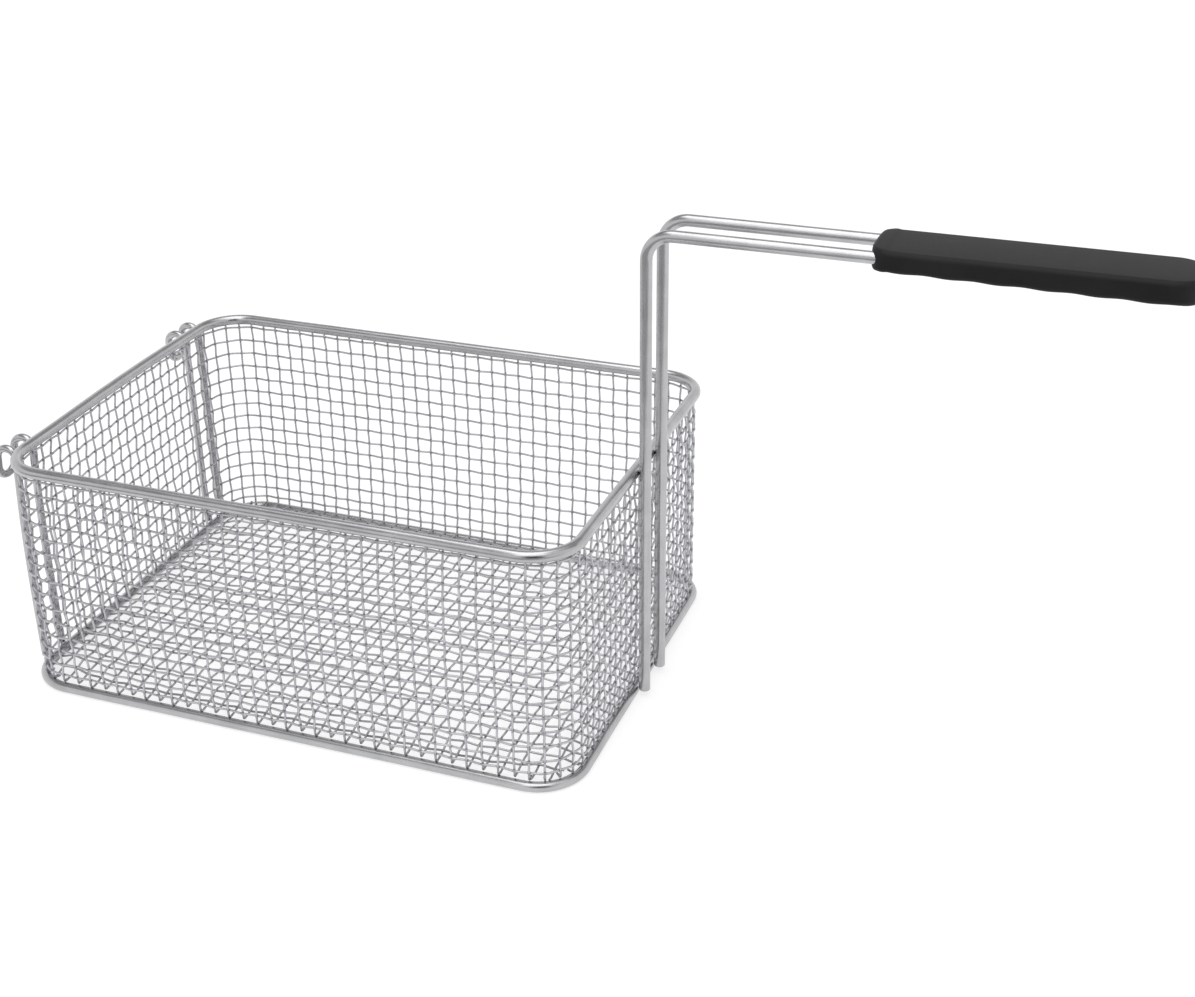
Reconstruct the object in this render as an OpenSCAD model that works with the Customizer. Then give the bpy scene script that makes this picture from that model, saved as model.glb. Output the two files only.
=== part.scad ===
// Deep fryer basket: a woven wire body between a rim rod and a base rod, with an
// upright wire handle at one end and two drain hooks at the other.
// The long side runs along X, with the handle at +X and the hooks at -X.
// The origin is the middle of the base, on the surface that the base rod stands on.

/* [Basket] */
// Length between the centre lines of the rim's short sides
basket_l = 260; // [200:5:320]
// Width between the centre lines of the rim's long sides
basket_w = 186; // [150:2:240]
// Height from the underside of the base rod to the top of the rim
basket_h = 111.5; // [70:0.5:160]
// Corner radius at the centre line of the rods
corner_r = 20; // [12:1:36]
// Diameter of the rim rod
rim_d = 5; // [4:0.5:7]
// Diameter of the base rod
base_d = 4.5; // [4:0.5:7]

/* [Mesh] */
// Diameter of a mesh wire
wire_d = 1; // [0.6:0.1:1.4]
// Distance from one mesh wire to the next
pitch = 7; // [5:0.5:14]
// Space between the rim and the first hoop under it
top_gap = 1.5; // [1:0.5:5]

/* [Handle] */
// Diameter of the handle wire
handle_d = 5; // [4:0.5:7]
// Distance between the two handle legs, centre to centre
handle_gap = 21; // [14:1:30]
// Height of the level part of the handle, at its centre line
handle_z = 213; // [170:1:260]
// Bend radius where the handle turns level, at its centre line
handle_r = 11; // [8:1:20]
// Height of the cut ends of the handle legs and hook legs
foot_z = 3; // [2:0.5:4]

/* [Grip] */
// Where the grip starts, from the handle legs
grip_start = 87.5; // [60:0.5:120]
// Length of the grip
grip_l = 119; // [90:1:150]
// Width of the grip
grip_w = 31; // [28:1:44]
// Thickness of the grip at its handle end
grip_t = 9.4; // [8:0.2:12]
// Extra thickness under the far end of the grip
grip_swell = 1.2; // [0:0.2:3]
// Radius of the grip's long edges
grip_edge = 2.2; // [1:0.2:3.5]
// Plan radius of the corners where the wires go in
grip_near_r = 9; // [5:0.5:12]
// Plan radius of the corners at the free end
grip_far_r = 11; // [6:0.5:13]
// Depth of the finger ripples under the grip
ripple = 0.4; // [0:0.05:0.8]
// Distance from one finger ripple to the next
ripple_pitch = 17.7; // [12:0.1:30]
// Distance of the first ripple from the handle end of the grip
ripple_start = 12.3; // [5:0.1:20]

/* [Hooks] */
// Diameter of the hook wire
hook_d = 3.5; // [3:0.5:4.5]
// Distance between the two legs of a hook, centre to centre
hook_gap = 12; // [10:1:18]
// How far each hook's middle lies inside the centre line of the rim's long side
hook_in = 25; // [24:1:45]
// How far the outer part of a hook stands off its legs, centre to centre
hook_out = 10; // [8:0.5:20]
// How far the crown of a hook lies below the top of the rim
hook_dip = 2; // [0:0.5:6]
// Height of a hook from its crown to its lowest point
hook_drop = 19; // [17:0.5:40]

/* [Hidden] */
$fn = 32;
// Clearance between wires that lie against each other
seat = 0.05;
// Clearance round the wire inside the grip
grip_fit = 0.1;
// Least flat left between the rounded long edges of the grip
grip_flat = 0.1;
steel = [0.68, 0.69, 0.71];
mesh_steel = [0.6, 0.61, 0.63];
grip_black = [0.13, 0.13, 0.13];

half_l = basket_l / 2;
half_w = basket_w / 2;
flat_l = half_l - corner_r;
flat_w = half_w - corner_r;
rim_z = basket_h - rim_d / 2;
base_z = base_d / 2;
// The base rod's outer side lies in line with the rim's
base_out = (rim_d - base_d) / 2;

// Uprights stand on the base rod and reach the underside of the rim
upright_low = base_d + seat;
upright_h = basket_h - rim_d - seat - upright_low;
side_n = floor(flat_l / pitch);
end_n = floor(flat_w / pitch);
// The stretch round a corner, from the last side upright to the last end upright
lead = flat_l - side_n * pitch;
tail = flat_w - end_n * pitch;
arc = corner_r * PI / 2;
corner_n = max(1, round((lead + arc + tail) / pitch));
corner_step = (lead + arc + tail) / corner_n;

// Floor wires lie on the base rod, the crosswise ones on the lengthwise ones, and
// reach the inside of the uprights
floor_in = wire_d / 2 + seat;
floor_long_z = base_d + seat + wire_d / 2;
floor_cross_z = floor_long_z + wire_d + seat;
floor_l = half_l - floor_in;
floor_w = half_w - floor_in;
floor_r = corner_r - floor_in;
floor_long_n = floor((floor_w - pitch / 2) / pitch);
floor_cross_n = floor((floor_l - pitch / 2) / pitch);

// Hoops lie against the inside of the uprights, the lowest one on the floor wires
hoop_in = wire_d + seat;
hoop_high = basket_h - rim_d - top_gap - wire_d / 2;
hoop_low = floor_cross_z + wire_d + seat;
hoop_n = round((hoop_high - hoop_low) / pitch) + 1;

handle_x = half_l + rim_d / 2 + handle_d / 2 + seat;
grip_x0 = handle_x + grip_start;
// The handle's closed end lies inside the grip
handle_end = grip_x0 + grip_l - grip_far_r;
grip_slices = 44;
grip_sides = 7;

hook_x = -(half_l + rim_d / 2 + hook_d / 2 + seat);
hook_y = half_w - hook_in;
hook_arch = hook_out / 2;
hook_turn = hook_gap / 2;
hook_spring = basket_h - hook_dip - hook_d / 2 - hook_arch;
hook_low = basket_h - hook_dip - hook_drop + hook_d / 2 + hook_turn;

function hoop_name(i) = str("wall_hoop_", i);

// A straight wire from one point up along Z
module straight(d, h) {
    cylinder(d = d, h = h);
}

// A wire bent through part of a circle about Z, starting on the X axis
module bend(r, d, angle = 90) {
    rotate_extrude(angle = angle) translate([r, 0]) circle(d = d);
}

// A closed rounded rectangle of wire, l by w at its centre line
module wire_loop(l, w, r, d) {
    for (side = [0, 180]) {
        rotate(side) {
            translate([l / 2 - r, w / 2, 0]) rotate([0, -90, 0]) straight(d, l - 2 * r);
            translate([l / 2, r - w / 2, 0]) rotate([-90, 0, 0]) straight(d, w - 2 * r);
            translate([l / 2 - r, w / 2 - r, 0]) bend(r, d);
            translate([r - l / 2, w / 2 - r, 0]) rotate(90) bend(r, d);
        }
    }
}

module top_rim() {
    color(steel) translate([0, 0, rim_z]) wire_loop(basket_l, basket_w, corner_r, rim_d);
}

module base_rod() {
    color(steel)
    translate([0, 0, base_z])
        wire_loop(basket_l + 2 * base_out, basket_w + 2 * base_out, corner_r + base_out, base_d);
}

module upright(x, y) {
    translate([x, y, upright_low]) straight(wire_d, upright_h);
}

// Uprights of a long wall, on the side given by its sign
module side_uprights(side) {
    for (i = [-side_n:side_n]) {
        upright(i * pitch, side * half_w);
    }
}

// Uprights of a short wall, at the end given by its sign
module end_uprights(end) {
    for (i = [-end_n:end_n]) {
        upright(end * half_l, i * pitch);
    }
}

module left_wall_uprights() {
    color(mesh_steel) side_uprights(-1);
}

module right_wall_uprights() {
    color(mesh_steel) side_uprights(1);
}

module back_wall_uprights() {
    color(mesh_steel) end_uprights(-1);
}

module front_wall_uprights() {
    color(mesh_steel) end_uprights(1);
}

// The point at a distance s along the wall, round a corner from the last side upright
function round_corner(s) =
    s < lead ? [flat_l - lead + s, half_w] :
    s > lead + arc ? [half_l, flat_w - (s - lead - arc)] :
    [flat_l + corner_r * sin(90 * (s - lead) / arc), flat_w + corner_r * cos(90 * (s - lead) / arc)];

module corner_uprights() {
    color(mesh_steel)
    for (end = [-1, 1], side = [-1, 1], i = [1:corner_n - 1]) {
        p = round_corner(i * corner_step);
        upright(end * p[0], side * p[1]);
    }
}

// Hoops are counted downwards from the rim
module wall_hoop(i) {
    color(mesh_steel)
    translate([0, 0, max(hoop_low, hoop_high - (i - 1) * pitch)])
        wire_loop(basket_l - 2 * hoop_in, basket_w - 2 * hoop_in, corner_r - hoop_in, wire_d);
}

// How far the space inside the walls reaches at a distance off its middle line
function reach(off, flat, across, r) = off <= flat ? across : across - r + sqrt(r * r - pow(off - flat, 2));

module floor_long_wires() {
    color(mesh_steel)
    for (i = [-floor_long_n:floor_long_n]) {
        end = reach(abs(i * pitch) + wire_d / 2, flat_w, floor_l, floor_r);
        translate([-end, i * pitch, floor_long_z]) rotate([0, 90, 0]) straight(wire_d, 2 * end);
    }
}

module floor_cross_wires() {
    color(mesh_steel)
    for (i = [-floor_cross_n:floor_cross_n]) {
        end = reach(abs(i * pitch) + wire_d / 2, flat_l, floor_w, floor_r);
        translate([i * pitch, -end, floor_cross_z]) rotate([-90, 0, 0]) straight(wire_d, 2 * end);
    }
}

// The handle wire, thickened by a clearance where it is used as a cutter
module handle_shape(d) {
    turn = handle_gap / 2;
    for (side = [-1, 1]) {
        translate([handle_x, side * turn, foot_z]) straight(d, handle_z - handle_r - foot_z);
        translate([handle_x + handle_r, side * turn, handle_z - handle_r])
            rotate([90, 0, 180]) bend(handle_r, d);
        translate([handle_x + handle_r, side * turn, handle_z])
            rotate([0, 90, 0]) straight(d, handle_end - turn - handle_x - handle_r);
    }
    translate([handle_end - turn, 0, handle_z]) rotate(-90) bend(turn, d, 180);
}

module handle_wire() {
    color(steel) handle_shape(handle_d);
}

// Half the width of the grip, x along it from its handle end
function grip_half(x) =
    x < grip_near_r ? grip_w / 2 - grip_near_r + sqrt(x * (2 * grip_near_r - x)) :
    x > grip_l - grip_far_r ?
        grip_w / 2 - grip_far_r + sqrt(max(0, (grip_l - x) * (2 * grip_far_r - grip_l + x))) :
    grip_w / 2;

// Depth of the grip's underside below the wire, x along it
function grip_under(x) =
    grip_t / 2 + grip_swell * x / grip_l - ripple * (1 - cos(360 * (x - ripple_start) / ripple_pitch)) / 2;

// How far the edges are rounded off towards the two end faces
function grip_round(x) =
    let (e = min(x, grip_l - x)) e < grip_edge ? grip_edge - sqrt(e * (2 * grip_edge - e)) : 0;

// Points of a quarter of a rounded corner, centred on c and starting at an angle
function quarter(c, r, start) =
    [for (k = [0:grip_sides]) c + r * [cos(start + 90 * k / grip_sides), sin(start + 90 * k / grip_sides)]];

// Outline of the grip across its length, x along it
function grip_outline(x) =
    let (w = max(grip_half(x) - grip_round(x), grip_edge + grip_flat),
        top = grip_t / 2 - grip_round(x), low = -grip_under(x) + grip_round(x), r = grip_edge)
    concat(quarter([w - r, top - r], r, 0), quarter([r - w, top - r], r, 90),
        quarter([r - w, low + r], r, 180), quarter([w - r, low + r], r, 270));

// Slices lie closer together towards the ends
function slice_x(i) = grip_l * (1 - cos(180 * i / grip_slices)) / 2;

module grip_body() {
    across = 4 * (grip_sides + 1);
    points = [for (i = [0:grip_slices]) for (p = grip_outline(slice_x(i))) [slice_x(i), p[0], p[1]]];
    skin = [for (i = [0:grip_slices - 1], k = [0:across - 1])
        [i * across + k, i * across + (k + 1) % across, (i + 1) * across + (k + 1) % across, (i + 1) * across + k]];
    start = [for (k = [across - 1:-1:0]) k];
    end = [for (k = [0:across - 1]) grip_slices * across + k];
    polyhedron(points = points, faces = concat(skin, [start, end]));
}

module handle_grip() {
    color(grip_black)
    difference() {
        translate([grip_x0, 0, handle_z]) grip_body();
        handle_shape(handle_d + 2 * grip_fit);
    }
}

// A hook: two legs up the wall, over the rim and down, joined by a turn at the bottom
module hook() {
    for (side = [-1, 1]) {
        translate([hook_x, side * hook_turn, foot_z]) straight(hook_d, hook_spring - foot_z);
        translate([hook_x - hook_arch, side * hook_turn, hook_spring])
            rotate([90, 0, 0]) bend(hook_arch, hook_d, 180);
        translate([hook_x - hook_out, side * hook_turn, hook_low]) straight(hook_d, hook_spring - hook_low);
    }
    translate([hook_x - hook_out, 0, hook_low]) rotate([-90, 0, 90]) bend(hook_turn, hook_d, 180);
}

module left_hook() {
    color(steel) translate([0, -hook_y, 0]) hook();
}

module right_hook() {
    color(steel) translate([0, hook_y, 0]) hook();
}

top_rim();
base_rod();
left_wall_uprights();
right_wall_uprights();
back_wall_uprights();
front_wall_uprights();
corner_uprights();
for (i = [1:hoop_n]) wall_hoop(i);
floor_long_wires();
floor_cross_wires();
handle_wire();
handle_grip();
left_hook();
right_hook();
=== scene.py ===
"""Deep fryer basket: woven mesh body, rods, handle wire, grip and hooks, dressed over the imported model.

Lengths are in millimetres until a mesh is made. X runs along the basket to the handle, Z is up.
"""
import math

import bpy
import numpy as np
from mathutils import Matrix, Vector


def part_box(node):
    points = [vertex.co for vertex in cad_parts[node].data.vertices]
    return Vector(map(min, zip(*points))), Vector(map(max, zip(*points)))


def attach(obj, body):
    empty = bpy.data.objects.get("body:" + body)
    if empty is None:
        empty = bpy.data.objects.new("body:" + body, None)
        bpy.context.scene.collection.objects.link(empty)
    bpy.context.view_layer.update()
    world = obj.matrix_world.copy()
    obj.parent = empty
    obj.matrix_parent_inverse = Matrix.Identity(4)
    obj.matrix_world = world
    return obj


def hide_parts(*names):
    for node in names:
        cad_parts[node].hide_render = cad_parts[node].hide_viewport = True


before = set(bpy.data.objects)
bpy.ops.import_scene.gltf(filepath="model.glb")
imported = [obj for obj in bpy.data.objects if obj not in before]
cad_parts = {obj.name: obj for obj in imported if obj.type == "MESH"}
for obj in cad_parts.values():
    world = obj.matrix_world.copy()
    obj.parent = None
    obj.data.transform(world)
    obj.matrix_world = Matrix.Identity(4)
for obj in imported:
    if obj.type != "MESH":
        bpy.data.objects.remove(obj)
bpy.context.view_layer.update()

MM = 0.001


def node_box(name):
    """Lowest and highest corner of a CAD node, in millimetres."""
    low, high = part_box(name)
    return np.array(low) / MM, np.array(high) / MM


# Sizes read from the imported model
rim_low, rim_high = node_box("top_rim")
base_low, base_high = node_box("base_rod")
leg_low, leg_high = node_box("handle_wire")
grip_low, grip_high = node_box("handle_grip")
hook_low, hook_high = node_box("right_hook")

ROD_D = rim_high[2] - rim_low[2]
HALF_L = rim_high[0] - ROD_D / 2
HALF_W = rim_high[1] - ROD_D / 2
RIM_Z = rim_high[2] - ROD_D / 2
BASE_D = base_high[2] - base_low[2]
BASE_Z = BASE_D / 2
BASE_OUT = base_high[0] - BASE_D / 2 - HALF_L
CORNER_R = 20.0
LEG_D = ROD_D
LEG_X = leg_low[0] + LEG_D / 2
LEG_Y = leg_high[1] - LEG_D / 2
LEG_FOOT = leg_low[2]
LEG_TOP = leg_high[2] - LEG_D / 2
LEG_BEND = 11.0
LEG_END = leg_high[0] - LEG_D / 2
HOOK_D = 3.5
HOOK_Y = (hook_low[1] + hook_high[1]) / 2
HOOK_HALF = (hook_high[1] - hook_low[1] - HOOK_D) / 2
HOOK_X = hook_high[0] - HOOK_D / 2
HOOK_OUT = HOOK_X - (hook_low[0] + HOOK_D / 2)
HOOK_CROWN = hook_high[2] - HOOK_D / 2
HOOK_FOOT = hook_low[2]
HOOK_DROP = 19.0
# The hook on the +Y side sits nearer its corner
HOOK_SHIFT = 4.5
# The rim is pushed in by this much at its -X, -Y corner
CORNER_PUSH = 4.0


def ease(t):
    t = min(1.0, max(0.0, t))
    return t * t * (3 - 2 * t)


def lean(points):
    """Moves the top of the -X, -Y corner inwards, fading out along the walls and down to the base."""
    points = np.array(points)
    out = []
    for x, y, z in points:
        share = ease((-60.0 - x) / 70.0) * ease((30.0 - y) / 120.0) * max(0.0, z / RIM_Z) ** 3
        out.append((x + CORNER_PUSH * share, y, z))
    return np.array(out)


class Shape:
    """Gathers the tubes and skins of one piece."""

    def __init__(self):
        self.points = []
        self.faces = []
        self.uvs = []

    def grid(self, rings, u, closed=False, caps=False):
        """Joins rings of points into a skin. u is the texture coordinate of each ring."""
        rings = np.asarray(rings)
        count, sides = rings.shape[:2]
        start = len(self.points)
        self.points.extend(rings.reshape(-1, 3).tolist())
        spans = count if closed else count - 1
        for i in range(spans):
            here = start + i * sides
            there = start + ((i + 1) % count) * sides
            for k in range(sides):
                n = (k + 1) % sides
                self.faces.append((here + k, here + n, there + n, there + k))
                v0, v1 = k / sides, (k + 1) / sides
                self.uvs.extend(((u[i], v0), (u[i], v1), (u[i + 1], v1), (u[i + 1], v0)))
        if caps:
            for ring, turn in ((0, -1), (count - 1, 1)):
                middle = rings[ring].mean(axis=0)
                centre = len(self.points)
                self.points.append(middle.tolist())
                base = start + ring * sides
                for k in range(sides):
                    n = (k + 1) % sides
                    a, b = (base + k, base + n) if turn > 0 else (base + n, base + k)
                    self.faces.append((a, b, centre))
                    self.uvs.extend(((u[ring], 0.0), (u[ring], 0.1), (u[ring], 0.05)))

    def tube(self, path, radius, sides, up, closed=False, caps=False, u=None):
        """A round tube along a path. up is a direction off the path, one for each point or for all."""
        path = np.asarray(path, dtype=float)
        if closed:
            along = np.roll(path, -1, axis=0) - np.roll(path, 1, axis=0)
            steps = np.linalg.norm(np.roll(path, -1, axis=0) - path, axis=1)
        else:
            along = np.gradient(path, axis=0)
            steps = np.linalg.norm(path[1:] - path[:-1], axis=1)
        along /= np.linalg.norm(along, axis=1)[:, None]
        up = np.broadcast_to(np.asarray(up, dtype=float), path.shape)
        side = np.cross(along, up)
        side /= np.linalg.norm(side, axis=1)[:, None]
        out = np.cross(side, along)
        if u is None:
            u = np.concatenate(([0.0], np.cumsum(steps))) / PITCH
        angle = 2 * np.pi * np.arange(sides) / sides
        ring = np.cos(angle)[None, :, None] * out[:, None, :] + np.sin(angle)[None, :, None] * side[:, None, :]
        radius = np.broadcast_to(np.asarray(radius, dtype=float), (len(path),))
        self.grid(path[:, None, :] + radius[:, None, None] * ring, u, closed, caps)

    def piece(self, name, material, node_names):
        """The smooth mesh piece on the root body, in place of the named CAD nodes."""
        mesh = bpy.data.meshes.new(name)
        mesh.from_pydata((lean(self.points) * MM).tolist(), [], self.faces)
        layer = mesh.uv_layers.new(name="UVMap")
        layer.data.foreach_set("uv", np.asarray(self.uvs, dtype=np.float32).ravel())
        mesh.shade_smooth()
        mesh.materials.append(material)
        mesh.validate()
        thing = bpy.data.objects.new(name, mesh)
        bpy.context.scene.collection.objects.link(thing)
        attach(thing, "root")
        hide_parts(*node_names)
        return thing


# Materials

# Painted shade darkens the mesh wires near the base rod, up to this height in metres
PAINTED_SHADE_LOW = 0.0055
PAINTED_SHADE_HIGH = 0.0085


def node_tree(name):
    material = bpy.data.materials.new(name)
    material.use_nodes = True
    tree = material.node_tree
    return material, tree, tree.nodes["Principled BSDF"]


def painted_shade_colour(tree, colour, uv, place, share):
    """Painted shade: darkens a colour around whole numbers of the count along a wire, where wires cross, and
    near the base rod.
    """
    nodes, links = tree.nodes, tree.links
    along = nodes.new("ShaderNodeSeparateXYZ")
    links.new(uv.outputs["UV"], along.inputs["Vector"])
    swing = nodes.new("ShaderNodeMath")
    swing.operation = "PINGPONG"
    swing.inputs[1].default_value = 0.5
    links.new(along.outputs["X"], swing.inputs[0])
    # Painted shade where wires cross
    near = nodes.new("ShaderNodeMapRange")
    near.interpolation_type = "SMOOTHSTEP"
    near.inputs["From Min"].default_value = 0.07
    near.inputs["From Max"].default_value = 0.17
    near.inputs["To Min"].default_value = share
    near.inputs["To Max"].default_value = 0.0
    links.new(swing.outputs["Value"], near.inputs["Value"])

    # Painted shade near the base rod
    height = nodes.new("ShaderNodeSeparateXYZ")
    links.new(place.outputs["Object"], height.inputs["Vector"])
    low = nodes.new("ShaderNodeMapRange")
    low.interpolation_type = "SMOOTHSTEP"
    low.inputs["From Min"].default_value = PAINTED_SHADE_LOW
    low.inputs["From Max"].default_value = PAINTED_SHADE_HIGH
    low.inputs["To Min"].default_value = share
    low.inputs["To Max"].default_value = 0.0
    links.new(height.outputs["Z"], low.inputs["Value"])

    most = nodes.new("ShaderNodeMath")
    most.operation = "MAXIMUM"
    links.new(near.outputs["Result"], most.inputs[0])
    links.new(low.outputs["Result"], most.inputs[1])
    keep = nodes.new("ShaderNodeMath")
    keep.operation = "SUBTRACT"
    keep.inputs[0].default_value = 1.0
    links.new(most.outputs["Value"], keep.inputs[1])
    darker = nodes.new("ShaderNodeVectorMath")
    darker.operation = "SCALE"
    links.new(colour, darker.inputs[0])
    links.new(keep.outputs["Value"], darker.inputs["Scale"])
    return darker.outputs["Vector"]


def steel(name, colour, rough, streak, bump, painted_shade=0.0):
    """Drawn steel wire: fine lines along the wire, faint blotches and uneven polish.

    With a share given, painted shade darkens it by that share where wires cross and near the base rod.
    """
    material, tree, shader = node_tree(name)
    nodes, links = tree.nodes, tree.links
    shader.inputs["Metallic"].default_value = 1.0

    uv = nodes.new("ShaderNodeUVMap")
    uv.uv_map = "UVMap"
    lines_place = nodes.new("ShaderNodeMapping")
    lines_place.inputs["Scale"].default_value = (0.35, streak, 1.0)
    lines = nodes.new("ShaderNodeTexNoise")
    lines.inputs["Scale"].default_value = 1.0
    lines.inputs["Detail"].default_value = 4.0
    lines.inputs["Roughness"].default_value = 0.65
    links.new(uv.outputs["UV"], lines_place.inputs["Vector"])
    links.new(lines_place.outputs["Vector"], lines.inputs["Vector"])

    place = nodes.new("ShaderNodeTexCoord")
    blotch = nodes.new("ShaderNodeTexNoise")
    blotch.inputs["Scale"].default_value = 90.0
    blotch.inputs["Detail"].default_value = 3.0
    links.new(place.outputs["Object"], blotch.inputs["Vector"])

    both = nodes.new("ShaderNodeMath")
    both.operation = "ADD"
    links.new(lines.outputs["Fac"], both.inputs[0])
    links.new(blotch.outputs["Fac"], both.inputs[1])

    ramp = nodes.new("ShaderNodeValToRGB")
    ramp.color_ramp.elements[0].position = 0.3
    ramp.color_ramp.elements[1].position = 0.7
    ramp.color_ramp.elements[0].color = tuple(c * 0.84 for c in colour) + (1.0,)
    ramp.color_ramp.elements[1].color = tuple(min(1.0, c * 1.14) for c in colour) + (1.0,)
    half = nodes.new("ShaderNodeMath")
    half.operation = "MULTIPLY"
    half.inputs[1].default_value = 0.5
    links.new(both.outputs["Value"], half.inputs[0])
    links.new(half.outputs["Value"], ramp.inputs["Fac"])
    # Painted shade at wire crossings and near the base rod
    if painted_shade:
        links.new(painted_shade_colour(tree, ramp.outputs["Color"], uv, place, painted_shade), shader.inputs["Base Color"])
    else:
        links.new(ramp.outputs["Color"], shader.inputs["Base Color"])

    gloss = nodes.new("ShaderNodeMapRange")
    gloss.inputs["From Min"].default_value = 0.3
    gloss.inputs["From Max"].default_value = 0.7
    gloss.inputs["To Min"].default_value = rough - 0.05
    gloss.inputs["To Max"].default_value = rough + 0.07
    links.new(lines.outputs["Fac"], gloss.inputs["Value"])
    links.new(gloss.outputs["Result"], shader.inputs["Roughness"])

    relief = nodes.new("ShaderNodeBump")
    relief.inputs["Strength"].default_value = bump
    relief.inputs["Distance"].default_value = 0.00006
    links.new(lines.outputs["Fac"], relief.inputs["Height"])
    links.new(relief.outputs["Normal"], shader.inputs["Normal"])
    return material


def grip_plastic():
    """Soft black moulded plastic with a fine spark-eroded grain."""
    material, tree, shader = node_tree("grip_plastic")
    nodes, links = tree.nodes, tree.links
    shader.inputs["Specular IOR Level"].default_value = 0.18
    place = nodes.new("ShaderNodeTexCoord")

    cloud = nodes.new("ShaderNodeTexNoise")
    cloud.inputs["Scale"].default_value = 55.0
    cloud.inputs["Detail"].default_value = 5.0
    links.new(place.outputs["Object"], cloud.inputs["Vector"])
    ramp = nodes.new("ShaderNodeValToRGB")
    ramp.color_ramp.elements[0].position = 0.3
    ramp.color_ramp.elements[1].position = 0.72
    ramp.color_ramp.elements[0].color = (0.0105, 0.0105, 0.011, 1.0)
    ramp.color_ramp.elements[1].color = (0.018, 0.018, 0.0185, 1.0)
    links.new(cloud.outputs["Fac"], ramp.inputs["Fac"])
    links.new(ramp.outputs["Color"], shader.inputs["Base Color"])

    gloss = nodes.new("ShaderNodeMapRange")
    gloss.inputs["To Min"].default_value = 0.46
    gloss.inputs["To Max"].default_value = 0.62
    links.new(cloud.outputs["Fac"], gloss.inputs["Value"])
    links.new(gloss.outputs["Result"], shader.inputs["Roughness"])

    grain = nodes.new("ShaderNodeTexNoise")
    grain.inputs["Scale"].default_value = 2600.0
    grain.inputs["Detail"].default_value = 3.0
    links.new(place.outputs["Object"], grain.inputs["Vector"])
    relief = nodes.new("ShaderNodeBump")
    relief.inputs["Strength"].default_value = 0.35
    relief.inputs["Distance"].default_value = 0.0001
    links.new(grain.outputs["Fac"], relief.inputs["Height"])
    links.new(relief.outputs["Normal"], shader.inputs["Normal"])
    return material


ROD_STEEL = steel("rod_steel", (0.468, 0.469, 0.48), 0.24, 22.0, 0.5)
# The mesh wires carry painted shade at crossings and near the base rod
MESH_STEEL = steel("mesh_steel", (0.545, 0.547, 0.573), 0.38, 9.0, 0.4, painted_shade=0.3)
GRIP_BLACK = grip_plastic()


# The woven mesh

# Middle surface of the sheet: inside the rods' centre lines, down the walls, round a small bend
# and across on top of the base rod
WIRE_D = 1.0
WEAVE = 0.34
MESH_IN = 0.3
MESH_TOP = rim_low[2] + 0.5
MESH_FLOOR = BASE_D + 0.2
MESH_BEND = 1.2
# The floor rises a little from the bend inwards
FLOOR_RISE = 2.5
RISE_RUN = 14.0
mesh_l = HALF_L - MESH_IN
mesh_w = HALF_W - MESH_IN
mesh_r = CORNER_R - MESH_IN
flat_l = HALF_L - CORNER_R
flat_w = HALF_W - CORNER_R
arc = mesh_r * math.pi / 2
ROUND = 4 * (flat_l + flat_w + arc)

# Wires from wall to wall across the basket, along it, and round each corner
PITCH = 7.0
CROSS_N = 15
CROSS_COUNT = 2 * CROSS_N + 1
LONG_PITCH = 6.53
LONG_COUNT = 22
LONG_FIRST = -68.27
# They spread a little from this line as they cross the floor
SPREAD_FROM = -3.0
SPREAD = 0.063
SPREAD_RUN = 40.0
CORNER_COUNT = 5
# Wires of the floor alone, which end in the rounded corners
CROSS_EXTRA = (-18, -17, -16, 16, 17)
LONG_EXTRA = (-2, -1, 22, 23)
# Hoops round the walls, the last one just above the bend
HOOP_TOP = 104.95
HOOP_COUNT = 14
LAST_HOOP_Z = 8.4
# Rings of points in one cell of the mesh, and in the cell that holds the bend
PER_CELL = 4
PER_BEND = 9
WIRE_SIDES = 8

wall_run = MESH_TOP - MESH_FLOOR - MESH_BEND
bend_run = MESH_BEND * math.pi / 2
sheet_run = wall_run + bend_run
hoop_u = [MESH_TOP - HOOP_TOP + i * PITCH for i in range(HOOP_COUNT)] + [MESH_TOP - LAST_HOOP_Z]


def profile(u):
    """Inset from the wall, height and outward direction (across, up) at a distance u down from the top."""
    if u <= wall_run:
        return 0.0, MESH_TOP - u, (1.0, 0.0)
    turned = min((u - wall_run) / MESH_BEND, math.pi / 2)
    inset = MESH_BEND * (1 - math.cos(turned)) + max(0.0, u - sheet_run)
    return inset, MESH_FLOOR + MESH_BEND * (1 - math.sin(turned)), (math.cos(turned), -math.sin(turned))


def wall_point(s, inset=0.0, radius=None):
    """Point and outward direction at a distance s round the wall, from the middle of the +X side."""
    radius = mesh_r if radius is None else radius
    turn = radius * math.pi / 2
    quarter_turn = 0
    s = (s + flat_w) % (4 * (flat_l + flat_w + turn))
    half = flat_w
    while s > 2 * half + turn:
        s -= 2 * half + turn
        half = flat_l + flat_w - half
        quarter_turn += 1
    bent = max(0.0, s - 2 * half) / radius
    side = flat_l + flat_w - half
    along = min(s, 2 * half) - half
    reach = radius - inset
    x = side + reach * math.cos(bent)
    y = along + reach * math.sin(bent)
    c, t = ((1, 0), (0, 1), (-1, 0), (0, -1))[quarter_turn % 4]
    out = (c * math.cos(bent) - t * math.sin(bent), t * math.cos(bent) + c * math.sin(bent))
    return c * x - t * y, t * x + c * y, out


def cross_x(k, side, z):
    """Place along a long wall of the crosswise wire k. The wires lean a little near the top."""
    if side < 0:
        return k * PITCH + 1.8 + max(0.0, (z - 50) / 48) ** 2
    return k * PITCH + 0.1 - 1.9 * max(0.0, (98 - z) / 92) ** 1.3


def floor_x(k, y):
    """Place of the crosswise wire k where it passes over the floor."""
    t = (y + mesh_w) / (2 * mesh_w)
    return (1 - t) * cross_x(k, -1, MESH_FLOOR) + t * cross_x(k, 1, MESH_FLOOR)


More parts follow.
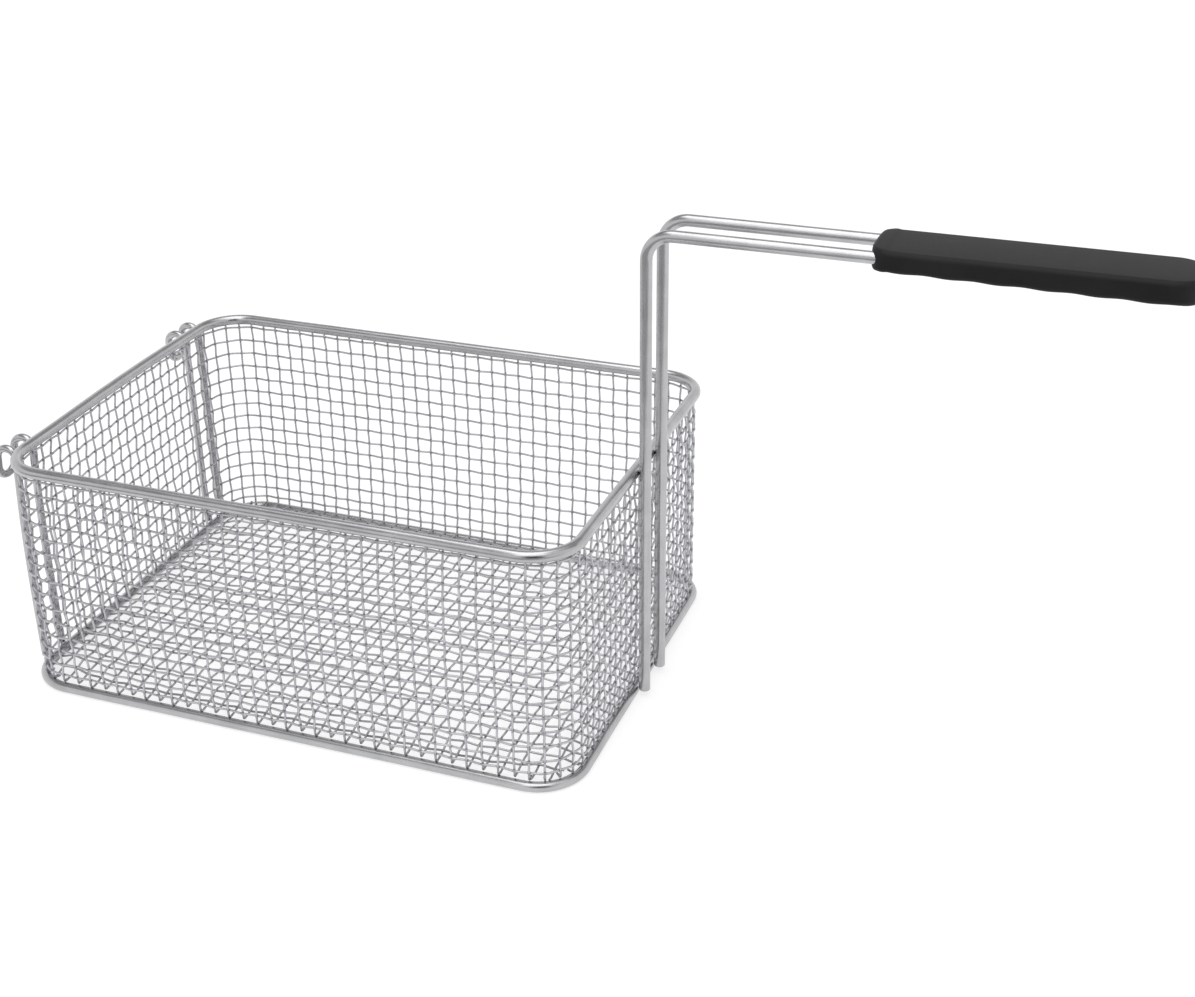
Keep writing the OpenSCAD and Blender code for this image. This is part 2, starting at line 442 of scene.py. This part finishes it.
def long_y(m):
    """Place across the basket of the lengthwise wire m."""
    return LONG_FIRST + m * LONG_PITCH


def floor_y(m, x):
    """Place of the lengthwise wire m where it passes over the floor."""
    return long_y(m) + SPREAD * (long_y(m) - SPREAD_FROM) * ease((mesh_l - abs(x)) / SPREAD_RUN)


FAR_FIRST = LONG_COUNT + CORNER_COUNT
LEFT_FIRST = FAR_FIRST + CROSS_COUNT + CORNER_COUNT
NEAR_FIRST = LEFT_FIRST + LONG_COUNT + CORNER_COUNT
WIRE_COUNT = NEAR_FIRST + CROSS_COUNT + CORNER_COUNT


def place(i, z):
    """Distance round the wall, at height z, of wire i, counted from the first one on the +X side."""
    if i >= WIRE_COUNT:
        return ROUND + place(i - WIRE_COUNT, z)
    if i < LONG_COUNT:
        return long_y(i)
    if FAR_FIRST <= i < FAR_FIRST + CROSS_COUNT:
        return flat_w + arc + flat_l - cross_x(FAR_FIRST + CROSS_N - i, 1, z)
    if LEFT_FIRST <= i < LEFT_FIRST + LONG_COUNT:
        return 2 * (flat_w + arc + flat_l) - long_y(LEFT_FIRST + LONG_COUNT - 1 - i)
    if NEAR_FIRST <= i < NEAR_FIRST + CROSS_COUNT:
        return 3 * (flat_w + arc + flat_l) + cross_x(i - NEAR_FIRST - CROSS_N, -1, z)
    before = i
    while before in corner_indices:
        before -= 1
    t = (i - before) / (CORNER_COUNT + 1)
    return (1 - t) * place(before, z) + t * place(before + CORNER_COUNT + 1, z)


corner_indices = [first - 1 - j for first in (FAR_FIRST, LEFT_FIRST, NEAR_FIRST, WIRE_COUNT)
                  for j in range(CORNER_COUNT)]


def sign(n):
    """Plus or minus one, for even and odd numbers."""
    return 1 if n % 2 == 0 else -1


def warp(p, flat):
    """The sheet is never quite even: its walls bulge between the corners and it ripples slightly."""
    x, y, z = p
    rise = min(1.0, max(0.0, (MESH_TOP - z) / (MESH_TOP - MESH_FLOOR)))
    belly = math.sin(math.pi * rise) ** 0.8
    wide = flat[1] ** 2 * max(0.0, 1 - (x / flat_l) ** 4) + flat[0] ** 2 * max(0.0, 1 - (y / flat_w) ** 4)
    bulge = 1.1 * belly * wide
    return (
        bulge * flat[0] + 0.05 * math.sin(0.21 * y - 0.17 * z),
        bulge * flat[1] + 0.05 * math.sin(0.19 * x + 0.16 * z),
        -0.3 * (y / mesh_w) * belly + 0.05 * math.sin(0.17 * (x - y)) * min(1.0, 4 * belly),
    )


def wave(stops, signs, bends=()):
    """Samples a wire that passes its stops on alternate sides: distance, side and count along it."""
    distance, shift, turn = [], [], []
    for i in range(len(stops) - 1):
        count = PER_BEND if i in bends else PER_CELL
        for k in range(count):
            t = k / count
            distance.append(stops[i] + (stops[i + 1] - stops[i]) * t)
            a, b = signs[i], signs[i + 1]
            shift.append(WEAVE * ((a + b) / 2 + (a - b) / 2 * math.cos(math.pi * t)))
            turn.append(i + t)
    distance.append(stops[-1])
    shift.append(WEAVE * signs[-1])
    turn.append(float(len(stops) - 1))
    return distance, shift, turn


def on_wall(s, u, shift):
    """Point and outward direction of the sheet at s round the wall and u down it, moved off by shift."""
    inset, z, (across, upward) = profile(u)
    x, y, flat = wall_point(s, inset)
    out = np.array((flat[0] * across, flat[1] * across, upward))
    return np.array((x, y, z)) + warp((x, y, z), flat) + out * shift, out


def on_floor(x, y, shift):
    """The same on the floor, which turns up towards the walls and corners."""
    ax, ay = abs(x), abs(y)
    if ax > flat_l and ay > flat_w:
        inset = mesh_r - math.hypot(ax - flat_l, ay - flat_w)
    else:
        inset = min(mesh_l - ax, mesh_w - ay)
    short = max(0.0, MESH_BEND - max(0.0, inset))
    z = MESH_FLOOR + MESH_BEND - math.sqrt(MESH_BEND ** 2 - short ** 2)
    z += FLOOR_RISE * ease((inset - MESH_BEND) / RISE_RUN)
    out = np.array((0.0, 0.0, -1.0))
    return np.array((x, y, z)) + warp((x, y, z), (0.0, 0.0)) + out * shift, out


def long_wire(shape, first_i, last_i, half, floor_stops, floor_signs, floor_at):
    """One wire down a wall, across the floor and up the opposite wall."""
    floor_start = sheet_run + half - MESH_BEND
    total = 2 * floor_start
    down = [0.0] + hoop_u
    stops = down + [floor_start + v for v in floor_stops] + [total - u for u in reversed(down)]
    first = [sign(first_i + h) for h in range(1, len(hoop_u) + 1)]
    last = [sign(last_i + h) for h in range(len(hoop_u), 0, -1)]
    signs = [first[0] * 0.5] + first + list(floor_signs) + last + [last[-1] * 0.5]
    bends = (len(down) - 1, len(stops) - len(down) - 1)
    path, ups = [], []
    distances, shifts, turns = wave(stops, signs, bends)
    for d, shift in zip(distances, shifts):
        u = min(d, total - d)
        if u < sheet_run:
            z = profile(u)[1]
            point, out = on_wall(place(first_i if d < total / 2 else last_i, z), u, shift)
        else:
            point, out = on_floor(*floor_at(d - floor_start), shift)
        path.append(point)
        ups.append(out)
    shape.tube(path, WIRE_D / 2, WIRE_SIDES, ups, caps=True, u=turns)


def floor_wire(shape, ends, floor_stops, floor_signs, floor_at):
    """One wire of the floor that ends in the rounded corners."""
    low, high = ends
    inner = [(v, g) for v, g in zip(floor_stops, floor_signs) if low + 2.0 < v < high - 2.0]
    stops = [low] + [v for v, g in inner] + [high]
    signs = [-inner[0][1]] + [g for v, g in inner] + [-inner[-1][1]]
    path, ups = [], []
    distances, shifts, turns = wave(stops, signs)
    for d, shift in zip(distances, shifts):
        point, out = on_floor(*floor_at(d), shift)
        path.append(point)
        ups.append(out)
    shape.tube(path, WIRE_D / 2, WIRE_SIDES, ups, caps=True, u=turns)


def corner_reach(off, flat):
    """How far a floor wire reaches past a flat wall's end, where it lies off that much into the corner."""
    return flat + math.sqrt((mesh_r - 0.3) ** 2 - max(0.0, off) ** 2)


def crosswise_wires():
    shape = Shape()
    rows = range(LONG_EXTRA[0], LONG_EXTRA[-1] + 1)
    for k in range(-CROSS_N, CROSS_N + 1):
        long_wire(shape, NEAR_FIRST + CROSS_N + k, FAR_FIRST + CROSS_N - k, mesh_w,
                  [floor_y(m, floor_x(k, 0.0)) for m in rows], [sign(k + m) for m in rows],
                  lambda v: (floor_x(k, v), v))
    for k in CROSS_EXTRA:
        ends = (-corner_reach(abs(floor_x(k, -mesh_w)) - flat_l, flat_w),
                corner_reach(abs(floor_x(k, mesh_w)) - flat_l, flat_w))
        floor_wire(shape, ends, [floor_y(m, floor_x(k, 0.0)) for m in rows], [sign(k + m) for m in rows],
                   lambda v: (floor_x(k, v), v))
    return shape.piece("mesh_crosswise", MESH_STEEL,
                       ["left_wall_uprights", "right_wall_uprights", "floor_cross_wires"])


def lengthwise_wires():
    shape = Shape()
    columns = range(CROSS_EXTRA[-1], CROSS_EXTRA[0] - 1, -1)
    for m in range(LONG_COUNT):
        y = floor_y(m, 0.0)
        long_wire(shape, m, LEFT_FIRST + LONG_COUNT - 1 - m, mesh_l,
                  [-floor_x(k, y) for k in columns], [-sign(k + m) for k in columns],
                  lambda v: (-v, floor_y(m, v)))
    for m in LONG_EXTRA:
        y = floor_y(m, 0.0)
        reach = corner_reach(abs(y) - flat_w, flat_l)
        floor_wire(shape, (-reach, reach), [-floor_x(k, y) for k in columns],
                   [-sign(k + m) for k in columns], lambda v: (-v, floor_y(m, v)))
    return shape.piece("mesh_lengthwise", MESH_STEEL,
                       ["back_wall_uprights", "front_wall_uprights", "floor_long_wires"])


def corner_wires():
    """Wires that run down a rounded corner and end on the floor just inside it."""
    shape = Shape()
    stops = [0.0] + hoop_u + [sheet_run + 2.0]
    for i in corner_indices:
        signs = [sign(i + h) for h in range(1, len(hoop_u) + 1)]
        signs = [0.5 * signs[0]] + signs + [-signs[-1]]
        path, ups = [], []
        distances, shifts, turns = wave(stops, signs, (len(hoop_u),))
        for u, shift in zip(distances, shifts):
            point, out = on_wall(place(i, profile(u)[1]), u, shift)
            path.append(point)
            ups.append(out)
        shape.tube(path, WIRE_D / 2, WIRE_SIDES, ups, caps=True, u=turns)
    return shape.piece("mesh_corners", MESH_STEEL, ["corner_uprights"])


def hoop_wires():
    shape = Shape()
    for h, u in enumerate(hoop_u, start=1):
        z = profile(u)[1]
        stops = [place(i, z) for i in range(WIRE_COUNT + 1)]
        signs = [-sign(i + h) for i in range(WIRE_COUNT + 1)]
        path, ups = [], []
        distances, shifts, turns = wave(stops, signs)
        for s, shift in list(zip(distances, shifts))[:-1]:
            point, out = on_wall(s, u, shift)
            path.append(point)
            ups.append(out)
        shape.tube(path, WIRE_D / 2, WIRE_SIDES, ups, closed=True, u=turns)
    hoops = sorted(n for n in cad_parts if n.startswith("wall_hoop_"))
    return shape.piece("mesh_hoops", MESH_STEEL, hoops)


crosswise_wires()
lengthwise_wires()
corner_wires()
hoop_wires()


# Rods

def arc_points(centre, start, end, first, last, count):
    """Points on an arc about a centre: start and end are two directions of the same length."""
    centre, start, end = (np.array(v, dtype=float) for v in (centre, start, end))
    angles = np.linspace(first, last, count)
    return [centre + math.cos(a) * start + math.sin(a) * end for a in angles]


def line_points(a, b, step=6.0):
    """Points from a to b, without the last."""
    a, b = np.array(a, dtype=float), np.array(b, dtype=float)
    count = max(1, int(round(np.linalg.norm(b - a) / step)))
    return [a + (b - a) * i / count for i in range(count)]


def rod_loop(name, d, z, out, node_name):
    """A closed rounded rectangle of rod, its centre line moved outwards by out. It isn't perfectly straight."""
    shape = Shape()
    radius = CORNER_R + out
    turn = radius * math.pi / 2
    stops, s = [], 0.0
    for length, count in ((flat_w, 11), (turn, 14), (2 * flat_l, 32), (turn, 14), (2 * flat_w, 22),
                          (turn, 14), (2 * flat_l, 32), (turn, 14), (flat_w, 11)):
        stops += [s + length * k / count for k in range(count)]
        s += length
    path = []
    for place_s in stops:
        x, y, flat = wall_point(place_s, 0.0, radius)
        sway = 0.05 * math.sin(place_s / 23.0) + 0.04 * math.sin(place_s / 9.0 + z)
        path.append((x + flat[0] * sway, y + flat[1] * sway, z))
    shape.tube(path, d / 2, 28, (0.0, 0.0, 1.0), closed=True, u=np.array(stops + [s]) / PITCH)
    return shape.piece(name, ROD_STEEL, [node_name])


rod_loop("rim", ROD_D, RIM_Z, 0.0, "top_rim")
rod_loop("base", BASE_D, BASE_Z, BASE_OUT, "base_rod")


def cut_ends(path, d):
    """Path and radii of a rod whose two cut ends are slightly broken over."""
    path = [np.array(p, dtype=float) for p in path]
    start = path[0] - path[1]
    start /= np.linalg.norm(start)
    end = path[-1] - path[-2]
    end /= np.linalg.norm(end)
    r = d / 2
    head = [path[0], path[0] - start * 0.12, path[0] - start * 0.45]
    tail = [path[-1] - end * 0.45, path[-1] - end * 0.12, path[-1]]
    body = path[1:-1]
    radii = [r - 0.42, r - 0.14, r] + [r] * len(body) + [r, r - 0.14, r - 0.42]
    return head + body + tail, radii


def handle_rod():
    """One wire: up from the base, level to the grip, round inside it and back."""
    path = []
    y = LEG_Y
    path += line_points((LEG_X, -y, LEG_FOOT), (LEG_X, -y, LEG_TOP - LEG_BEND), 7.0)
    path += arc_points((LEG_X + LEG_BEND, -y, LEG_TOP - LEG_BEND), (-LEG_BEND, 0, 0), (0, 0, LEG_BEND),
                       0.0, math.pi / 2, 16)[:-1]
    path += line_points((LEG_X + LEG_BEND, -y, LEG_TOP), (LEG_END - y, -y, LEG_TOP), 8.0)
    path += arc_points((LEG_END - y, 0, LEG_TOP), (0, -y, 0), (y, 0, 0), 0.0, math.pi, 20)[:-1]
    path += line_points((LEG_END - y, y, LEG_TOP), (LEG_X + LEG_BEND, y, LEG_TOP), 8.0)
    path += arc_points((LEG_X + LEG_BEND, y, LEG_TOP - LEG_BEND), (0, 0, LEG_BEND), (-LEG_BEND, 0, 0),
                       0.0, math.pi / 2, 16)[:-1]
    path += line_points((LEG_X, y, LEG_TOP - LEG_BEND), (LEG_X, y, LEG_FOOT), 7.0)
    path.append(np.array((LEG_X, y, LEG_FOOT)))
    path, radii = cut_ends(path, LEG_D)
    shape = Shape()
    level = [i for i, p in enumerate(path) if p[0] > LEG_END - y]
    first, last = level[0], level[-1]
    for a, b in ((0, first + 1), (last, len(path))):
        shape.tube(path[a:b], radii[a:b], 28, (0.0, 1.0, 0.0), caps=True)
    shape.tube(path[first - 1:last + 2], radii[first - 1:last + 2], 28, (0.0, 0.0, 1.0))
    return shape.piece("handle", ROD_STEEL, ["handle_wire"])


handle_rod()


def hook_rod(name, middle, node_name):
    """One wire: up the wall, over beside the rim, down, across and back the same way."""
    h = HOOK_HALF
    rise = HOOK_OUT / 2
    spring = HOOK_CROWN - rise
    low = HOOK_CROWN + HOOK_D / 2 - HOOK_DROP + HOOK_D / 2 + h
    leg, bar, mid = HOOK_X, HOOK_X - HOOK_OUT, HOOK_X - rise
    path = []
    path += line_points((leg, -h, HOOK_FOOT), (leg, -h, spring), 7.0)
    path += arc_points((mid, -h, spring), (rise, 0, 0), (0, 0, rise), 0.0, math.pi, 16)[:-1]
    path += line_points((bar, -h, spring), (bar, -h, low), 3.0)
    path += arc_points((bar, 0, low), (0, -h, 0), (0, 0, -h), 0.0, math.pi, 18)[:-1]
    path += line_points((bar, h, low), (bar, h, spring), 3.0)
    path += arc_points((mid, h, spring), (-rise, 0, 0), (0, 0, rise), 0.0, math.pi, 16)[:-1]
    path += line_points((leg, h, spring), (leg, h, HOOK_FOOT), 7.0)
    path.append(np.array((leg, h, HOOK_FOOT)))
    path, radii = cut_ends(path, HOOK_D)
    path = np.array(path)
    along = np.gradient(path, axis=0)
    along /= np.linalg.norm(along, axis=1)[:, None]
    ups = [np.array((0.0, 1.0, 0.0))]
    for t in along[1:]:
        carried = ups[-1] - t * ups[-1].dot(t)
        ups.append(carried / np.linalg.norm(carried))
    path[:, 1] += middle
    shape = Shape()
    shape.tube(path, radii, 24, ups, caps=True)
    return shape.piece(name, ROD_STEEL, [node_name])


hook_rod("hook_left", -HOOK_Y, "left_hook")
hook_rod("hook_right", HOOK_Y + HOOK_SHIFT, "right_hook")


# Grip

GRIP_X0 = grip_low[0]
GRIP_L = grip_high[0] - grip_low[0]
GRIP_W = grip_high[1] - grip_low[1]
GRIP_TOP = grip_high[2]
GRIP_UNDER = 2 * LEG_TOP - GRIP_TOP
GRIP_SWELL = GRIP_UNDER - grip_low[2]
GRIP_EDGE = 2.2
GRIP_NEAR = 9.0
GRIP_FAR = 11.0
LIP = 0.38
LIP_L = 5.0
RIPPLE = 0.42
RIPPLE_FIRST = 12.3
RIPPLE_PITCH = 17.7


def grip_section(x):
    """Half width, top and underside of the grip at x along it."""
    half = GRIP_W / 2
    if x < GRIP_NEAR:
        half -= GRIP_NEAR - math.sqrt(max(0.0, x * (2 * GRIP_NEAR - x)))
    if x > GRIP_L - GRIP_FAR:
        e = GRIP_L - x
        half -= GRIP_FAR - math.sqrt(max(0.0, e * (2 * GRIP_FAR - e)))
    lip = LIP * (1 - ease((x - LIP_L) / 3.0))
    fade = ease(x / 8.0) * ease((GRIP_L - x) / 10.0)
    wave_z = RIPPLE * fade * (1 - math.cos(2 * math.pi * (x - RIPPLE_FIRST) / RIPPLE_PITCH)) / 2
    top = GRIP_TOP - LIP + lip
    low = GRIP_UNDER - GRIP_SWELL * x / GRIP_L + LIP - lip + wave_z
    return half - LIP + lip, top, low


def grip_skin():
    shape = Shape()
    sides = 10
    spans = 150
    rings, us = [], []
    for i in range(spans + 1):
        x = GRIP_L * (1 - math.cos(math.pi * i / spans)) / 2
        half, top, low = grip_section(x)
        end = min(x, GRIP_L - x)
        edge = GRIP_EDGE
        sunk = edge - math.sqrt(end * (2 * edge - end)) if end < edge else 0.0
        half, top, low = max(half - sunk, edge + 0.1), top - sunk, low + sunk
        ring = []
        crown = 0.22
        for cx, cz, start in ((1, 1, 0), (-1, 1, 90), (-1, -1, 180), (1, -1, 270)):
            for k in range(sides + 1):
                a = math.radians(start + 90 * k / sides)
                zc = top - edge - crown if cz > 0 else low + edge
                ring.append((cx * (half - edge) + edge * math.cos(a), zc + edge * math.sin(a)))
            if start == 0:
                ring += [((half - edge) * (1 - 2 * j / 6), top - crown * (1 - math.sin(math.pi * j / 6)))
                         for j in range(1, 6)]
            if start == 180:
                ring += [((half - edge) * (2 * j / 6 - 1), low) for j in range(1, 6)]
        rings.append([(GRIP_X0 + x, y, z) for y, z in ring])
        us.append(x / PITCH)
    shape.grid(rings, us, caps=True)
    return shape.piece("grip", GRIP_BLACK, ["handle_grip"])


grip_skin()


# Camera at the photograph's viewpoint

CAMERA_AT = Vector((0.33917, -0.61967, 0.42544))
CAMERA_AZ = math.radians(20.3087)
CAMERA_EL = math.radians(27.0219)
CAMERA_ROLL = math.radians(-0.6055)
FOCAL_PX = 1724.508
IMAGE_W = 1195

back = Vector((math.sin(CAMERA_AZ) * math.cos(CAMERA_EL), -math.cos(CAMERA_AZ) * math.cos(CAMERA_EL),
               math.sin(CAMERA_EL)))
right = Vector((0.0, 0.0, 1.0)).cross(back).normalized()
upward = back.cross(right)
rolled_right = math.cos(CAMERA_ROLL) * right + math.sin(CAMERA_ROLL) * upward
rolled_up = math.cos(CAMERA_ROLL) * upward - math.sin(CAMERA_ROLL) * right
camera_data = bpy.data.cameras.new("camera")
camera_data.sensor_width = 36.0
camera_data.lens = 36.0 * FOCAL_PX / IMAGE_W
camera_data.clip_start = 0.01
camera_data.clip_end = 50.0
camera = bpy.data.objects.new("camera", camera_data)
camera.matrix_world = Matrix((
    (rolled_right.x, rolled_up.x, back.x, CAMERA_AT.x),
    (rolled_right.y, rolled_up.y, back.y, CAMERA_AT.y),
    (rolled_right.z, rolled_up.z, back.z, CAMERA_AT.z),
    (0.0, 0.0, 0.0, 1.0),
))
bpy.context.scene.collection.objects.link(camera)
bpy.context.scene.camera = camera


# Studio: white floor and surroundings, soft lamps, and dark flags that only reflections show

def stage_mesh(name, points, faces, material):
    mesh = bpy.data.meshes.new(name)
    mesh.from_pydata(points, [], faces)
    mesh.materials.append(material)
    thing = bpy.data.objects.new(name, mesh)
    bpy.context.scene.collection.objects.link(thing)
    return thing


def seen_rays(tree):
    """One for camera, glossy and transmission rays, else zero."""
    path = tree.nodes.new("ShaderNodeLightPath")
    one = tree.nodes.new("ShaderNodeMath")
    one.operation = "MAXIMUM"
    two = tree.nodes.new("ShaderNodeMath")
    two.operation = "MAXIMUM"
    tree.links.new(path.outputs["Is Camera Ray"], one.inputs[0])
    tree.links.new(path.outputs["Is Glossy Ray"], one.inputs[1])
    tree.links.new(one.outputs["Value"], two.inputs[0])
    tree.links.new(path.outputs["Is Transmission Ray"], two.inputs[1])
    return two.outputs["Value"]


floor_material = bpy.data.materials.new("floor_white")
floor_material.use_nodes = True
floor_tree = floor_material.node_tree
floor_shader = floor_tree.nodes["Principled BSDF"]
floor_shader.inputs["Base Color"].default_value = (0.45, 0.45, 0.45, 1.0)
floor_shader.inputs["Roughness"].default_value = 0.9
floor_shader.inputs["Specular IOR Level"].default_value = 0.1
floor_shader.inputs["Emission Color"].default_value = (1.0, 1.0, 1.0, 1.0)
glow = floor_tree.nodes.new("ShaderNodeMath")
glow.operation = "MULTIPLY"
glow.inputs[1].default_value = 0.65
floor_tree.links.new(seen_rays(floor_tree), glow.inputs[0])
floor_tree.links.new(glow.outputs["Value"], floor_shader.inputs["Emission Strength"])
stage_mesh("floor", [(-9, -9, 0), (9, -9, 0), (9, 9, 0), (-9, 9, 0)], [(0, 1, 2, 3)], floor_material)


def flag(name, shade):
    """Matt cloth of one shade."""
    material = bpy.data.materials.new(name)
    material.use_nodes = True
    shader = material.node_tree.nodes["Principled BSDF"]
    shader.inputs["Base Color"].default_value = (shade, shade, shade, 1.0)
    shader.inputs["Roughness"].default_value = 1.0
    shader.inputs["Specular IOR Level"].default_value = 0.0
    return material


FLAG_LIGHT = flag("flag_light", 0.64)
FLAG_GREY = flag("flag_grey", 0.45)
FLAG_BLACK = flag("flag_black", 0.03)


def reflected_only(thing):
    thing.visible_camera = False
    thing.visible_diffuse = False
    thing.visible_shadow = False


def ring_wall(name, radius, low, high, start, end, material):
    """A curved screen round the object between two azimuths, 0 on the camera's side at -Y."""
    count = 64
    points = []
    for i in range(count + 1):
        a = math.radians(start + (end - start) * i / count)
        points += [(radius * math.sin(a), -radius * math.cos(a), z) for z in (low, high)]
    faces = [(2 * i, 2 * i + 2, 2 * i + 3, 2 * i + 1) for i in range(count)]
    reflected_only(stage_mesh(name, points, faces, material))


ring_wall("flag_upper", 2.2, 1.55, 3.8, 100, 422, FLAG_LIGHT)
ring_wall("flag_side", 1.0, 0.14, 1.8, 9, 43, FLAG_BLACK)
reflected_only(stage_mesh(
    "card_front", [(-1.6, -1.7, 0.002), (1.9, -1.7, 0.002), (1.9, -0.28, 0.002), (-1.6, -0.28, 0.002)],
    [(0, 1, 2, 3)], FLAG_GREY))


def softbox(name, azimuth, elevation, distance, size, power):
    """A square soft lamp aimed at the object, azimuth 0 on the camera's side at -Y."""
    data = bpy.data.lights.new(name, "AREA")
    data.shape = "RECTANGLE"
    data.size, data.size_y = size
    data.energy = power
    lamp = bpy.data.objects.new(name, data)
    a, e = math.radians(azimuth), math.radians(elevation)
    away = Vector((math.sin(a) * math.cos(e), -math.cos(a) * math.cos(e), math.sin(e)))
    target = Vector((0.06, 0.0, 0.08))
    lamp.location = target + away * distance
    lamp.rotation_mode = "QUATERNION"
    lamp.rotation_quaternion = away.to_track_quat("Z", "Y")
    bpy.context.scene.collection.objects.link(lamp)
    return lamp


softbox("key", 15, 52, 1.3, (1.1, 0.7), 4.0)
softbox("top", -60, 84, 1.4, (0.9, 0.9), 4.0)

world = bpy.data.worlds.new("studio")
world.use_nodes = True
world_tree = world.node_tree
background = world_tree.nodes["Background"]
background.inputs["Color"].default_value = (1.0, 1.0, 1.0, 1.0)
ambient = world_tree.nodes.new("ShaderNodeMapRange")
ambient.inputs["To Min"].default_value = 0.75
ambient.inputs["To Max"].default_value = 1.0
world_tree.links.new(seen_rays(world_tree), ambient.inputs["Value"])
world_tree.links.new(ambient.outputs["Result"], background.inputs["Strength"])
bpy.context.scene.world = world
bpy.context.scene.view_settings.view_transform = "Standard"
